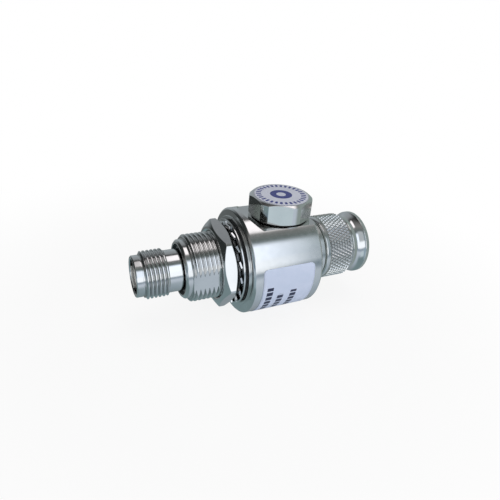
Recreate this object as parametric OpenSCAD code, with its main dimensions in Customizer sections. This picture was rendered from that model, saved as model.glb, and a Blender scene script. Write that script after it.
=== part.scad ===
// Coaxial lightning arrestor with a screwed gas-capsule cap, for mounting through a panel.
// X runs along the coaxial line from the threaded jack (-X) to the plug with its coupling nut (+X).
// +Z is the axis of the capsule and its cap. The origin is on the line, at the body's panel face.

/* [Body] */
// Diameter of the turned body
body_d = 26; // [24:0.5:30]
// Length of the body from its panel face to its rear face
body_len = 18; // [17.8:0.1:22]
// Chamfer on the body's two outer edges
body_edge = 0.45; // [0.2:0.05:0.8]
// Diameter of the raised register on the panel face
register_d = 22.1; // [21:0.1:23]
// Height of the raised register
register_h = 0.4; // [0.2:0.05:0.8]
// Diameter of the hub that carries the plug
hub_d = 15.8; // [14:0.1:17]
// Length of the hub behind the body
hub_len = 4; // [3.5:0.1:6]
// Depth below the body's top of the flat that the cap screws down on
flat_depth = 2.15; // [1.6:0.05:2.4]
// Diameter of the spot face around the cap
spot_d = 20.8; // [17:0.1:22]

/* [Panel barrel] */
// Outer diameter of the barrel's thread
barrel_d = 16; // [15.4:0.1:16.6]
// Length of the barrel in front of the panel face
barrel_len = 13.6; // [13:0.1:16]
// Diameter of the plain run in front of the thread
barrel_lead_d = 14; // [13.6:0.1:14.4]
// Length of that plain run
barrel_lead = 1.5; // [1:0.05:2]
// Chamfer on the plain run's front edge
barrel_edge = 0.45; // [0.2:0.05:0.6]
// Lead-in chamfer at the start of the barrel's thread
barrel_thread_lead = 0.4; // [0.2:0.05:0.6]
// Distance from the line to the flat milled along the barrel
barrel_flat = 7.35; // [7:0.05:7.6]

/* [Panel nut and washers] */
// Width across the nut's flats
nut_af = 19; // [18.5:0.1:22]
// Thickness of the nut
nut_h = 3.35; // [2.5:0.05:4.5]
// Step from the nut's flats in to the flat ring of each face
nut_face_step = 0.45; // [0.2:0.05:0.5]
// Depth to which the nut's corners are turned down
nut_corner_cut = 0.17; // [0.05:0.01:0.4]
// Countersink at each end of the nut's bore
nut_sink = 0.45; // [0.2:0.05:0.5]
// Angle of the nut above the horizontal
nut_turn = 21.5; // [0:0.5:60]
// Number of teeth on the lock washer
lock_teeth = 17; // [12:1:18]
// Diameter over the lock washer's teeth
lock_d = 20; // [19.4:0.1:20.6]
// Diameter of the lock washer's closed ring
lock_ring_d = 18; // [17.6:0.1:18.4]
// Sheet thickness of the lock washer
lock_sheet = 0.4; // [0.3:0.05:0.5]
// Width of a tooth at its root
tooth_w = 1.9; // [1.4:0.05:2]
// Twist of each tooth out of the washer's plane
tooth_twist = 13; // [6:1:16]
// Angle of the first tooth above the horizontal
tooth_phase = 3.4; // [0:0.1:20]
// Diameter of the flat washer
washer_d = 20.9; // [19:0.1:22]
// Thickness of the flat washer
washer_h = 0.45; // [0.3:0.05:0.8]
// Diameter of the panel gasket
gasket_d = 20.2; // [18.6:0.1:21]
// Thickness of the panel gasket
gasket_h = 0.5; // [0.3:0.05:1]

/* [Jack] */
// Reach of the jack in front of the barrel
jack_reach = 10.5; // [9.5:0.1:12]
// Diameter of the plain ring at the jack's mouth
nose_d = 9.6; // [9.4:0.05:10]
// Length of the plain ring
nose_len = 1.85; // [1.2:0.05:2.5]
// Outer diameter of the jack's thread
jack_thread_d = 11.11; // [10.6:0.01:11.6]
// Length of the jack's thread
jack_thread_len = 5.45; // [4.5:0.05:6.5]
// Lead-in chamfer at each end of the jack's thread
jack_thread_lead = 0.25; // [0.1:0.05:0.4]
// Diameter of the plain neck behind the thread
neck_d = 9.9; // [9.4:0.05:10.4]
// Bore that takes the mating plug's outer contact
jack_bore_d = 8.1; // [7.9:0.05:8.4]
// Depth of that bore
jack_bore_depth = 5.4; // [5:0.05:6]
// Diameter of the jack's tail, seated in the barrel
jack_tail_d = 12; // [11:0.1:12.4]
// Length of the jack's tail
jack_tail_len = 4.4; // [3:0.1:6]
// Depth of the tail's shoulder inside the barrel's mouth
jack_recess = 0.6; // [0.3:0.05:1]
// Outer diameter of the jack's insulator around the socket contact
socket_sleeve_d = 4.9; // [4.4:0.05:5.2]
// Outer diameter of the socket contact
socket_d = 2.2; // [2:0.05:2.4]
// Bore of the socket contact
socket_bore_d = 1.4; // [1.3:0.01:1.5]
// Depth of the socket contact's bore
socket_depth = 4.2; // [3.5:0.1:5]
// Width of the slots that let the socket contact spring
socket_slot = 0.22; // [0.15:0.01:0.3]
// Length of those slots
socket_slot_len = 3.6; // [3:0.1:4]

/* [Coaxial line] */
// Bore of the outer conductor inside the body
line_d = 7; // [6.8:0.05:7.4]
// Diameter of the centre conductor
conductor_d = 3; // [2.8:0.05:3.3]
// Diameter of the conductor's land under the capsule
land_d = 4.4; // [4:0.1:5]
// Length of that land
land_len = 8; // [7:0.1:8.4]
// Height of the flat on the land
land_flat = 1.6; // [1.3:0.05:1.8]
// Diameter of the spigots that join the conductor to its contacts
spigot_d = 1.2; // [1:0.05:1.4]
// Length of those spigots
spigot_len = 1.8; // [1.2:0.1:2.4]
// Thickness of the bead that steadies the conductor in the barrel
bead_len = 2.5; // [1.5:0.1:4]
// Distance of the bead in front of the panel face
bead_x = 5; // [3:0.1:6]

/* [Plug] */
// Diameter of the plug's tail, seated in the hub
plug_tail_d = 11; // [10.6:0.1:11.6]
// Length of the tail
plug_tail_len = 4.4; // [4:0.05:4.6]
// Diameter of the neck that the coupling nut turns on
plug_neck_d = 9.9; // [9.6:0.05:10.2]
// Length of the neck
plug_neck_len = 4; // [3.6:0.1:5]
// Outer diameter of the plug's outer contact
ferrule_d = 8.04; // [7.8:0.02:8.1]
// Length of the outer contact in front of the neck
ferrule_len = 6.6; // [6:0.1:7]
// Bore of the plug
plug_bore_d = 6.6; // [6.3:0.05:6.8]
// Length of the plug's insulator in front of the neck
plug_insulator_reach = 2; // [1.4:0.1:2.6]
// Diameter of the plug's contact pin
pin_d = 1.37; // [1.3:0.01:1.4]
// Length of the pin in front of the insulator
pin_len = 4.4; // [4:0.1:4.6]
// Length of the taper at the pin's tip
pin_taper = 0.7; // [0.4:0.1:1]
// Diameter of the pin's shank inside the insulator
shank_d = 2; // [1.7:0.1:2.4]
// Thickness of the seal at the root of the outer contact
plug_seal_h = 1.4; // [1:0.1:1.7]
// Diameter of that seal
plug_seal_d = 10.6; // [10:0.1:10.8]
// Diameter of the seat that the seal sits on
seal_seat_d = 7.7; // [7.5:0.05:7.75]

/* [Coupling nut] */
// Length of the coupling nut
coupling_len = 13.2; // [12.6:0.1:14]
// Gap between the hub and the coupling nut
coupling_gap = 0.2; // [0.1:0.05:0.5]
// Diameter of the plain collar behind the knurl
collar_d = 16.2; // [15.4:0.1:16.6]
// Length of the plain collar
collar_len = 1.2; // [0.8:0.1:2]
// Diameter over the knurled band's points
knurl_d = 16.6; // [16.4:0.1:17.4]
// Length of the knurled band
knurl_len = 6.5; // [5:0.1:6.8]
// Number of diamonds around the band
knurl_count = 57; // [40:1:64]
// Length of a diamond along the line
knurl_pitch = 1.65; // [1.2:0.05:2.4]
// Depth of the knurl's grooves
knurl_depth = 0.3; // [0.15:0.05:0.4]
// Smallest diameter of the hollow between knurl and rim
waist_d = 14.4; // [13.8:0.1:15]
// Diameter of the rim
rim_d = 16.4; // [15.8:0.1:17]
// Length of the rim
rim_len = 1.2; // [0.9:0.05:1.8]
// Rounding chamfer on the coupling nut's ends
coupling_edge = 0.3; // [0.15:0.05:0.4]
// Inner diameter of the coupling nut's thread
coupling_thread_d = 10.3; // [10.2:0.05:10.5]
// Length of that thread
coupling_thread_len = 7; // [6:0.1:7.2]
// Diameter of the clear run behind the thread
coupling_clear_d = 11.4; // [11:0.1:11.8]
// Axial width of the split ring that holds the coupling nut
ring_w = 0.7; // [0.5:0.05:0.9]
// Outer diameter of the split ring
ring_d = 11.2; // [10.8:0.1:11.4]
// Depth of the split ring's seat in the plug's neck
ring_seat = 0.45; // [0.3:0.05:0.6]
// Width of the ring's split
ring_split = 1.2; // [0.8:0.1:2]

/* [Cap] */
// Distance of the cap's axis from the panel face
cap_x = 11.7; // [11.6:0.05:11.8]
// Width across the cap's flats
cap_af = 14; // [13.5:0.1:15]
// Height of the cap's head
cap_h = 5; // [4:0.1:7]
// Gap between the cap's head and the flat, where the seal shows
cap_gap = 0.25; // [0.15:0.05:0.4]
// Step from the cap's flats in to its round top face
cap_face_step = 0.15; // [0.1:0.05:0.3]
// Depth to which the cap's corners are turned down
cap_corner_cut = 0.53; // [0.1:0.01:0.7]
// Angle of the cap's front facet, from -Y towards -X
cap_turn = 26.6; // [0:0.1:60]
// Outer diameter of the cap's thread
cap_thread_d = 10.9; // [10.4:0.1:11]
// Length of the cap's threaded shank
cap_thread_len = 4.6; // [4:0.1:5]
// Diameter of the capsule's chamber in the cap
cap_cup_d = 8.3; // [8.2:0.05:8.5]
// Height of the chamber inside the head
cap_cup_rise = 1.4; // [1:0.1:2]
// Depth of the seal's groove in the cap's underside
seal_groove = 0.4; // [0.3:0.05:0.6]
// Diameter of the cap's seal
seal_d = 12.1; // [11.8:0.05:12.2]

/* [Gas capsule] */
// Diameter of the capsule
capsule_d = 8; // [7.6:0.05:8]
// Thickness of each end electrode's disc
electrode_h = 0.8; // [0.5:0.05:1]
// Diameter of the electrode's boss inside the ceramic
boss_d = 4.4; // [3.6:0.1:4.8]
// Height of that boss
boss_h = 1.5; // [1:0.05:1.7]
// Length of the ceramic tube
ceramic_h = 4; // [3.8:0.1:4.4]
// Bore of the ceramic tube
ceramic_bore_d = 5.4; // [5:0.1:6]
// Wire diameter of the spring that presses the capsule down
spring_wire = 0.7; // [0.5:0.05:0.8]
// Mean diameter of the spring
spring_d = 5.4; // [5:0.1:6]
// Turns of the spring
spring_turns = 4; // [3:0.5:5]

/* [Labels] */
// Length of the body's label along the line
label_len = 13.3; // [10:0.1:13.5]
// Distance of the label from the panel face
label_x = 2.3; // [1.5:0.1:3]
// Height of the label around the body
label_h = 20; // [12:0.5:24]
// Angle of the label's upper edge above the horizontal
label_top = 17.5; // [5:0.5:25]
// Rounding of the label's corners
label_r = 1.1; // [0.5:0.1:2]
// Thickness of the label films
film = 0.08; // [0.05:0.01:0.15]
// Diameter of the label on the cap
cap_label_d = 13; // [10:0.1:13.1]

/* [Fits] */
// Radial running gap of the nuts and the cap on their threads
run_gap = 0.05; // [0.02:0.01:0.1]
// Gap between parts that are seated on each other
seat_gap = 0.02; // [0.01:0.01:0.03]
// Gap between the faces that part when a nut or the cap is undone
face_gap = 0.03; // [0.02:0.01:0.05]
// Clearance around what moves freely in a bore
free_gap = 0.3; // [0.2:0.05:0.4]

/* [Hidden] */
$fn = 96;
HEX = 6;
CHAMFER_ANGLE = 30;
TOOTH_TAPER = 0.8;
PAST = 1;
KNURL_SEAT = 0.12;

body_r = body_d / 2;
barrel_r = barrel_d / 2;
line_r = line_d / 2;

// Stack in front of the panel face: register, gasket, flat washer, lock washer, nut
gasket_x = -register_h - gasket_h;
washer_x = gasket_x - face_gap - washer_h;
lock_h = 2 * (tooth_w / 2 * sin(tooth_twist) + lock_sheet / 2 * cos(tooth_twist));
lock_mid = washer_x - face_gap - lock_h / 2;
nut_x = washer_x - 2 * face_gap - lock_h - nut_h;
washer_bore_r = barrel_r + free_gap;

// Jack, seated in the barrel's mouth
nose_x = -barrel_len - jack_reach;
thread_x0 = nose_x + nose_len;
thread_x1 = thread_x0 + jack_thread_len;
lip_x = nose_x + jack_bore_depth;
lip_len = 1;
shoulder_x = jack_recess - barrel_len;
jack_seat_x = shoulder_x + jack_tail_len;
mouth_edge = 0.2;
sleeve_set_back = 0.7;
sleeve_x = nose_x + sleeve_set_back;
sleeve_wall = 0.8;
socket_x = sleeve_x + sleeve_wall;
jack_insulator_r = line_r - seat_gap;
sleeve_len = 10.4;
conductor_x0 = sleeve_x + sleeve_len;
socket_entry_d = socket_bore_d + mouth_edge;

// Plug, seated in the hub
hub_x = body_len + hub_len;
plug_x = hub_x - plug_tail_len;
neck_end = hub_x + plug_neck_len;
seal_end = neck_end + plug_seal_h + seat_gap;
ferrule_x = neck_end + ferrule_len;
plug_insulator_x = neck_end + plug_insulator_reach;
pin_x = plug_insulator_x + pin_len;
conductor_x1 = plug_x;

// Coupling nut and its split ring on the neck
coupling_x0 = hub_x + coupling_gap;
coupling_x1 = coupling_x0 + coupling_len;
knurl_x0 = coupling_x0 + collar_len;
knurl_x1 = knurl_x0 + knurl_len;
rim_x = coupling_x1 - rim_len;
waist_len = rim_x - knurl_x1;
waist_depth = (rim_d - waist_d) / 2;
waist_r = (waist_len * waist_len / 4 + waist_depth * waist_depth) / (2 * waist_depth);
coupling_bore_r = plug_neck_d / 2 + run_gap;
ring_play = 0.1;
ring_x = hub_x + plug_neck_len / 2;
ring_groove_w = ring_w + 2 * ring_play;
coupling_clear_x = neck_end - free_gap;
seal_relief_x = seal_end + run_gap;
coupling_thread_x = max(coupling_x1 - coupling_thread_len, seal_relief_x);

// Capsule column, from the conductor's land up to the cap
flat_z = body_r - flat_depth;
cap_z = flat_z + cap_gap;
cap_top = cap_z + cap_h;
cap_thread_floor = cap_z - cap_thread_len - free_gap;
cap_bore_r = cap_thread_d / 2 + run_gap;
capsule_z = land_flat + face_gap;
ceramic_z = capsule_z + electrode_h;
upper_z = ceramic_z + ceramic_h;
capsule_top = upper_z + electrode_h;
chamber_r = capsule_d / 2 + free_gap;
chamber_drop = 1;
chamber_floor = land_flat - chamber_drop;
cup_top = cap_z + cap_cup_rise;
spring_h = cup_top - face_gap - capsule_top;

// A solid turned about the line from an outline of [x, radius] points
module turned(outline) {
    rotate([0, 90, 0])
        rotate_extrude()
            polygon([for (p = outline) [p[1], p[0]]]);
}

// A plain ring on the line, from x0 to x1
module line_ring(x0, x1, inner_r, outer_r) {
    turned([[x0, inner_r], [x0, outer_r], [x1, outer_r], [x1, inner_r]]);
}

// A plain ring on the cap's axis, from z0 to z1
module cap_ring(z0, z1, inner_r, outer_r) {
    translate([cap_x, 0, z0])
        difference() {
            cylinder(r = outer_r, h = z1 - z0);
            translate([0, 0, -PAST])
                cylinder(r = inner_r, h = z1 - z0 + 2 * PAST);
        }
}

// A hexagonal prism along +Z with its corners turned down and both ends chamfered to a round face
module chamfered_hex(af, height, face_step, corner_cut) {
    sharp_r = af / 2 / cos(180 / HEX);
    corner_r = sharp_r - corner_cut;
    face_r = af / 2 - face_step;
    drop = (corner_r - face_r) * tan(CHAMFER_ANGLE);
    intersection() {
        cylinder(r = sharp_r, h = height, $fn = HEX);
        rotate_extrude()
            polygon([[0, 0], [face_r, 0], [corner_r, drop], [corner_r, height - drop],
                     [face_r, height], [0, height]]);
    }
}

// A diamond knurl around the line: pyramids over rings of points that are high and low by turns.
// Its two end rings and its inner wall lie inside the piece that carries it.
module knurl_band(x0, x1, crest_r, depth, count, pitch, seat) {
    columns = 2 * count;
    cells = round((x1 - x0) / pitch) * 2;
    step = (x1 - x0 - 2 * seat) / cells;
    end_r = crest_r - depth - seat / 2;
    rings = concat([[x0 - seat, 0]], [for (i = [0 : cells]) [x0 + seat + i * step, i + 1]],
                   [[x1 + seat, 0]]);
    inner = [[x1 + seat, -1], [x0 - seat, -1]];
    all_rings = concat(rings, inner);
    points = [for (ring = all_rings, j = [0 : columns - 1])
        let (a = 180 / count * j, raised = (ring[1] + j) % 2 == 0,
             r = ring[1] < 0 ? end_r - depth : ring[1] == 0 ? end_r : raised ? crest_r : crest_r - depth)
        [ring[0], r * cos(a), r * sin(a)]];
    faces = [for (i = [0 : len(all_rings) - 1], j = [0 : columns - 1])
        let (k = (j + 1) % columns, n = (i + 1) % len(all_rings), a = i * columns + j,
             b = i * columns + k, c = n * columns + k, d = n * columns + j)
        each ((i + j) % 2 == 0 ? [[a, d, b], [b, d, c]] : [[a, c, b], [a, d, c]])];
    polyhedron(points, faces);
}

// A coil spring along +Z, swept as one closed skin with flat-cut ends
module coil(mean_r, wire_r, rise, turns) {
    sides = 8;
    steps = turns * 20;
    points = [for (i = [0 : steps], j = [0 : sides - 1])
        let (a = 360 * turns * i / steps, b = 360 * j / sides, r = mean_r + wire_r * cos(b))
        [r * cos(a), r * sin(a), rise * i / steps + wire_r * sin(b)]];
    walls = [for (i = [0 : steps - 1], j = [0 : sides - 1])
        let (k = (j + 1) % sides, p = i * sides)
        each [[p + j, p + k, p + sides + j], [p + k, p + sides + k, p + sides + j]]];
    first_cap = [for (j = [1 : sides - 2]) [0, j + 1, j]];
    last = steps * sides;
    last_cap = [for (j = [1 : sides - 2]) [last, last + j, last + j + 1]];
    polyhedron(points, concat(walls, first_cap, last_cap));
}

// The turned body with its barrel, hub, bores, barrel flat and spot-faced seat for the cap
module housing() {
    lead_r = barrel_lead_d / 2;
    thread_x = barrel_lead - barrel_len;
    tail_r = jack_tail_d / 2 + seat_gap;
    plug_r = plug_tail_d / 2 + seat_gap;
    color("silver")
        difference() {
            turned([[-barrel_len, tail_r], [-barrel_len, lead_r - barrel_edge],
                    [barrel_edge - barrel_len, lead_r], [thread_x, lead_r],
                    [thread_x, barrel_r - barrel_thread_lead],
                    [thread_x + barrel_thread_lead, barrel_r], [-register_h, barrel_r],
                    [-register_h, register_d / 2], [0, register_d / 2], [0, body_r - body_edge],
                    [body_edge, body_r], [body_len - body_edge, body_r],
                    [body_len, body_r - body_edge], [body_len, hub_d / 2], [hub_x, hub_d / 2],
                    [hub_x, plug_r], [plug_x, plug_r], [plug_x, line_r],
                    [jack_seat_x, line_r], [jack_seat_x, tail_r]]);
            translate([thread_x, -barrel_flat - barrel_d, -barrel_d / 2])
                cube([-register_h - thread_x, barrel_d, barrel_d]);
            translate([cap_x, 0, flat_z])
                cylinder(d = spot_d, h = body_r);
            translate([cap_x, 0, cap_thread_floor])
                cylinder(r = cap_bore_r, h = body_r);
            translate([cap_x, 0, chamber_floor])
                cylinder(r = chamber_r, h = body_r);
        }
}

// The threaded jack's outer shell
module jack_shell() {
    nose_r = nose_d / 2;
    bore_r = jack_bore_d / 2;
    crest_r = jack_thread_d / 2;
    lip_r = socket_sleeve_d / 2 + run_gap;
    color("gainsboro")
        turned([[nose_x, bore_r + mouth_edge], [nose_x, nose_r - mouth_edge],
                [nose_x + mouth_edge, nose_r], [thread_x0, nose_r],
                [thread_x0, crest_r - jack_thread_lead], [thread_x0 + jack_thread_lead, crest_r],
                [thread_x1 - jack_thread_lead, crest_r], [thread_x1, crest_r - jack_thread_lead],
                [thread_x1, neck_d / 2], [shoulder_x, neck_d / 2], [shoulder_x, jack_tail_d / 2],
                [jack_seat_x, jack_tail_d / 2], [jack_seat_x, line_r], [lip_x + lip_len, line_r],
                [lip_x + lip_len, lip_r], [lip_x, lip_r], [lip_x, bore_r],
                [nose_x + mouth_edge, bore_r]]);
}

// The white sleeve that holds the socket contact in the jack
module jack_insulator() {
    flange_x = lip_x + lip_len;
    sleeve_r = socket_sleeve_d / 2;
    hole_r = socket_d / 2 + seat_gap;
    color("whitesmoke")
        turned([[sleeve_x, socket_entry_d / 2], [sleeve_x, sleeve_r], [flange_x, sleeve_r],
                [flange_x, jack_insulator_r], [conductor_x0, jack_insulator_r],
                [conductor_x0, hole_r], [socket_x, hole_r], [socket_x, socket_entry_d / 2]]);
}

// The slotted socket contact, with a spigot into the centre conductor
module jack_contact() {
    color("gold")
        difference() {
            turned([[socket_x, socket_bore_d / 2], [socket_x, socket_d / 2],
                    [conductor_x0, socket_d / 2], [conductor_x0, spigot_d / 2],
                    [conductor_x0 + spigot_len, spigot_d / 2], [conductor_x0 + spigot_len, 0],
                    [socket_x + socket_depth, 0], [socket_x + socket_depth, socket_bore_d / 2]]);
            for (a = [0, 90])
                rotate([a, 0, 0])
                    translate([socket_x - PAST, -socket_slot / 2, -socket_d])
                        cube([socket_slot_len + PAST, socket_slot, 2 * socket_d]);
        }
}

// The bead that steadies the conductor inside the barrel
module line_bead() {
    color("white")
        line_ring(-bead_x - bead_len, -bead_x, conductor_d / 2 + seat_gap, line_r - seat_gap);
}

// The centre conductor, with a flat land under the capsule
module centre_conductor() {
    r = conductor_d / 2;
    land_r = land_d / 2;
    hole_r = spigot_d / 2 + seat_gap;
    hole_len = spigot_len + seat_gap;
    land_x0 = cap_x - land_len / 2;
    land_x1 = cap_x + land_len / 2;
    color("goldenrod")
        difference() {
            turned([[conductor_x0, hole_r], [conductor_x0, r], [land_x0, r], [land_x0, land_r],
                    [land_x1, land_r], [land_x1, r], [conductor_x1, r], [conductor_x1, hole_r],
                    [conductor_x1 - hole_len, hole_r], [conductor_x1 - hole_len, 0],
                    [conductor_x0 + hole_len, 0], [conductor_x0 + hole_len, hole_r]]);
            translate([land_x0 - PAST, -land_d, land_flat])
                cube([land_len + 2 * PAST, 2 * land_d, land_d]);
        }
}

// The plug's outer conductor: tail in the hub, neck for the coupling nut, outer contact
module plug_body() {
    neck_r = plug_neck_d / 2;
    ferrule_r = ferrule_d / 2;
    bore_r = plug_bore_d / 2;
    g0 = ring_x - ring_groove_w / 2;
    g1 = ring_x + ring_groove_w / 2;
    color("gainsboro")
        turned([[plug_x, bore_r], [plug_x, plug_tail_d / 2], [hub_x, plug_tail_d / 2],
                [hub_x, neck_r], [g0, neck_r], [g0, neck_r - ring_seat], [g1, neck_r - ring_seat],
                [g1, neck_r], [neck_end, neck_r], [neck_end, seal_seat_d / 2],
                [seal_end, seal_seat_d / 2], [seal_end, ferrule_r],
                [ferrule_x - mouth_edge, ferrule_r], [ferrule_x, ferrule_r - mouth_edge],
                [ferrule_x, bore_r]]);
}

// The white insulator inside the plug
module plug_insulator() {
    color("whitesmoke")
        line_ring(plug_x, plug_insulator_x, shank_d / 2 + seat_gap, plug_bore_d / 2 - seat_gap);
}

// The plug's contact pin, with a spigot into the centre conductor
module plug_pin() {
    r = pin_d / 2;
    color("gold")
        turned([[conductor_x1 - spigot_len, 0], [conductor_x1 - spigot_len, spigot_d / 2],
                [conductor_x1, spigot_d / 2], [conductor_x1, shank_d / 2],
                [plug_insulator_x, shank_d / 2], [plug_insulator_x, r], [pin_x - pin_taper, r],
                [pin_x, r / 2], [pin_x, 0]]);
}

// The soft seal that a mating jack's mouth presses on
module plug_seal() {
    color("firebrick")
        line_ring(neck_end, neck_end + plug_seal_h, seal_seat_d / 2 + seat_gap, plug_seal_d / 2);
}

// The split ring that holds the coupling nut on the neck
module split_ring() {
    inner_r = plug_neck_d / 2 - ring_seat + seat_gap;
    color("dimgray")
        difference() {
            line_ring(ring_x - ring_w / 2, ring_x + ring_w / 2, inner_r, ring_d / 2);
            translate([ring_x - ring_w, -ring_split / 2, 0])
                cube([2 * ring_w, ring_split, ring_d]);
        }
}

// The coupling nut: collar, knurled band, hollow waist and rim, over its threaded bore
module coupling_nut() {
    c = coupling_edge;
    knurl_r = knurl_d / 2;
    core_r = knurl_r - 2 * knurl_depth;
    thread_r = coupling_thread_d / 2;
    clear_r = coupling_clear_d / 2;
    groove_r = ring_d / 2 + ring_play;
    g0 = ring_x - ring_groove_w / 2;
    g1 = ring_x + ring_groove_w / 2;
    lead = clear_r - thread_r;
    outline = [[coupling_x0, coupling_bore_r], [coupling_x0, collar_d / 2 - c],
               [coupling_x0 + c, collar_d / 2], [knurl_x0, collar_d / 2], [knurl_x0, core_r],
               [knurl_x1, core_r], [knurl_x1, rim_d / 2], [coupling_x1 - c, rim_d / 2],
               [coupling_x1, rim_d / 2 - c], [coupling_x1, clear_r], [coupling_x1 - lead, thread_r],
               [coupling_thread_x, thread_r], [coupling_thread_x, clear_r],
               [coupling_clear_x, clear_r], [coupling_clear_x, coupling_bore_r],
               [g1, coupling_bore_r], [g1, groove_r], [g0, groove_r], [g0, coupling_bore_r]];
    color("silver") {
        rotate([0, 90, 0])
            rotate_extrude()
                difference() {
                    polygon([for (p = outline) [p[1], p[0]]]);
                    translate([waist_d / 2 + waist_r, (knurl_x1 + rim_x) / 2])
                        circle(r = waist_r);
                }
        knurl_band(knurl_x0, knurl_x1, knurl_r, knurl_depth, knurl_count, knurl_pitch, KNURL_SEAT);
    }
}

// The hexagonal nut that clamps the panel
module panel_nut() {
    bore_r = barrel_r + run_gap;
    color("lightgray")
        translate([nut_x, 0, 0])
            rotate([0, 90, 0])
                rotate([0, 0, -nut_turn])
                    difference() {
                        chamfered_hex(nut_af, nut_h, nut_face_step, nut_corner_cut);
                        rotate_extrude()
                            polygon([[0, -PAST], [bore_r + nut_sink + PAST, -PAST],
                                     [bore_r, nut_sink], [bore_r, nut_h - nut_sink],
                                     [bore_r + nut_sink + PAST, nut_h + PAST], [0, nut_h + PAST]]);
                    }
}

// The lock washer: a closed ring with teeth that are each twisted out of its plane
module lock_washer() {
    ring_r = lock_ring_d / 2;
    root_r = washer_bore_r + (ring_r - washer_bore_r) / 2;
    tip_w = tooth_w * TOOTH_TAPER;
    color("darkgray") {
        line_ring(lock_mid - lock_sheet / 2, lock_mid + lock_sheet / 2, washer_bore_r, ring_r);
        for (i = [0 : lock_teeth - 1])
            rotate([90 - tooth_phase - 360 / lock_teeth * i, 0, 0])
                translate([lock_mid, 0, 0])
                    rotate([90, 0, 90])
                        rotate([0, tooth_twist, 0])
                            linear_extrude(height = lock_sheet, center = true)
                                polygon([[-tooth_w / 2, root_r], [tooth_w / 2, root_r],
                                         [tip_w / 2, lock_d / 2], [-tip_w / 2, lock_d / 2]]);
    }
}

// The flat washer between the lock washer and the panel
module flat_washer() {
    color("silver")
        line_ring(washer_x, washer_x + washer_h, washer_bore_r, washer_d / 2);
}

// The soft gasket on the body's panel face
module panel_gasket() {
    color([0.08, 0.08, 0.08])
        line_ring(gasket_x, -register_h, barrel_r + seat_gap, gasket_d / 2);
}

// The hexagonal cap, with a hollow threaded shank that holds the capsule
module gas_cap() {
    shank_r = cap_thread_d / 2;
    color("lightgray")
        translate([cap_x, 0, cap_z])
            difference() {
                union() {
                    rotate([0, 0, -cap_turn])
                        chamfered_hex(cap_af, cap_h, cap_face_step, cap_corner_cut);
                    translate([0, 0, -cap_thread_len])
                        cylinder(r = shank_r, h = cap_thread_len + seal_groove + PAST);
                }
                translate([0, 0, -cap_thread_len - PAST])
                    cylinder(d = cap_cup_d, h = cap_thread_len + cap_cup_rise + PAST);
                difference() {
                    cylinder(d = seal_d, h = seal_groove);
                    cylinder(r = shank_r, h = seal_groove);
                }
            }
}

// The soft ring that seals the cap on the flat
module cap_seal() {
    color([0.08, 0.08, 0.08])
        cap_ring(flat_z + face_gap, cap_z + seal_groove, cap_thread_d / 2 + seat_gap,
                 seal_d / 2 - seat_gap);
}

// The spring that presses the capsule onto the conductor
module contact_spring() {
    wire_r = spring_wire / 2;
    color("slategray")
        translate([cap_x, 0, capsule_top + wire_r])
            coil(spring_d / 2, wire_r, spring_h - spring_wire, spring_turns);
}

// One end electrode of the capsule: a disc with a boss towards the spark gap
module electrode() {
    cylinder(d = capsule_d, h = electrode_h);
    cylinder(d = boss_d, h = electrode_h + boss_h);
}

module upper_electrode() {
    color("lightsteelblue")
        translate([cap_x, 0, capsule_top])
            mirror([0, 0, 1])
                electrode();
}

module lower_electrode() {
    color("lightsteelblue")
        translate([cap_x, 0, capsule_z])
            electrode();
}

// The capsule's ceramic tube
module ceramic_tube() {
    color("ivory")
        cap_ring(ceramic_z, upper_z, ceramic_bore_d / 2, capsule_d / 2);
}

// The film on the body, wrapped around the lower side
module body_label() {
    half_angle = label_h / body_r * 90 / PI;
    mid_angle = label_top - half_angle;
    half_w = body_r * sin(half_angle);
    inner_r = body_r + seat_gap;
    color("lavender")
        intersection() {
            line_ring(label_x, label_x + label_len, inner_r, inner_r + film);
            rotate([90 - mid_angle, 0, 0])
                linear_extrude(height = body_d)
                    union() {
                        translate([label_x + label_r, -half_w])
                            square([label_len - 2 * label_r, 2 * half_w]);
                        translate([label_x, label_r - half_w])
                            square([label_len, 2 * (half_w - label_r)]);
                        for (x = [label_x + label_r, label_x + label_len - label_r],
                             y = [label_r - half_w, half_w - label_r])
                            translate([x, y])
                                circle(r = label_r);
                    }
        }
}

// The film on the cap's top face
module cap_label() {
    color("lavender")
        translate([cap_x, 0, cap_top])
            cylinder(d = cap_label_d, h = film);
}

housing();
jack_shell();
jack_insulator();
jack_contact();
line_bead();
centre_conductor();
plug_body();
plug_insulator();
plug_pin();
plug_seal();
split_ring();
coupling_nut();
panel_nut();
lock_washer();
flat_washer();
panel_gasket();
gas_cap();
cap_seal();
contact_spring();
upper_electrode();
ceramic_tube();
lower_electrode();
body_label();
cap_label();
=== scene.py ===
# %% [markdown]
# # A coaxial lightning arrestor, dressed for the camera
# The real part is a stack of turned and nickel-plated brass: a threaded jack, a barrel with its
# panel nut, a round body with a hexagonal cap, and a plug inside a knurled coupling nut.
# The CAD model gives every size and place. This lesson adds what a solid model leaves out: the
# threads, the eased edges that catch the light, the print on the films and the plated finish.
# Shapes are in millimetres until they become a mesh, which is in metres.

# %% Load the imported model
import math

import bmesh
import bpy
import numpy as np
from mathutils import Matrix, Vector


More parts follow.
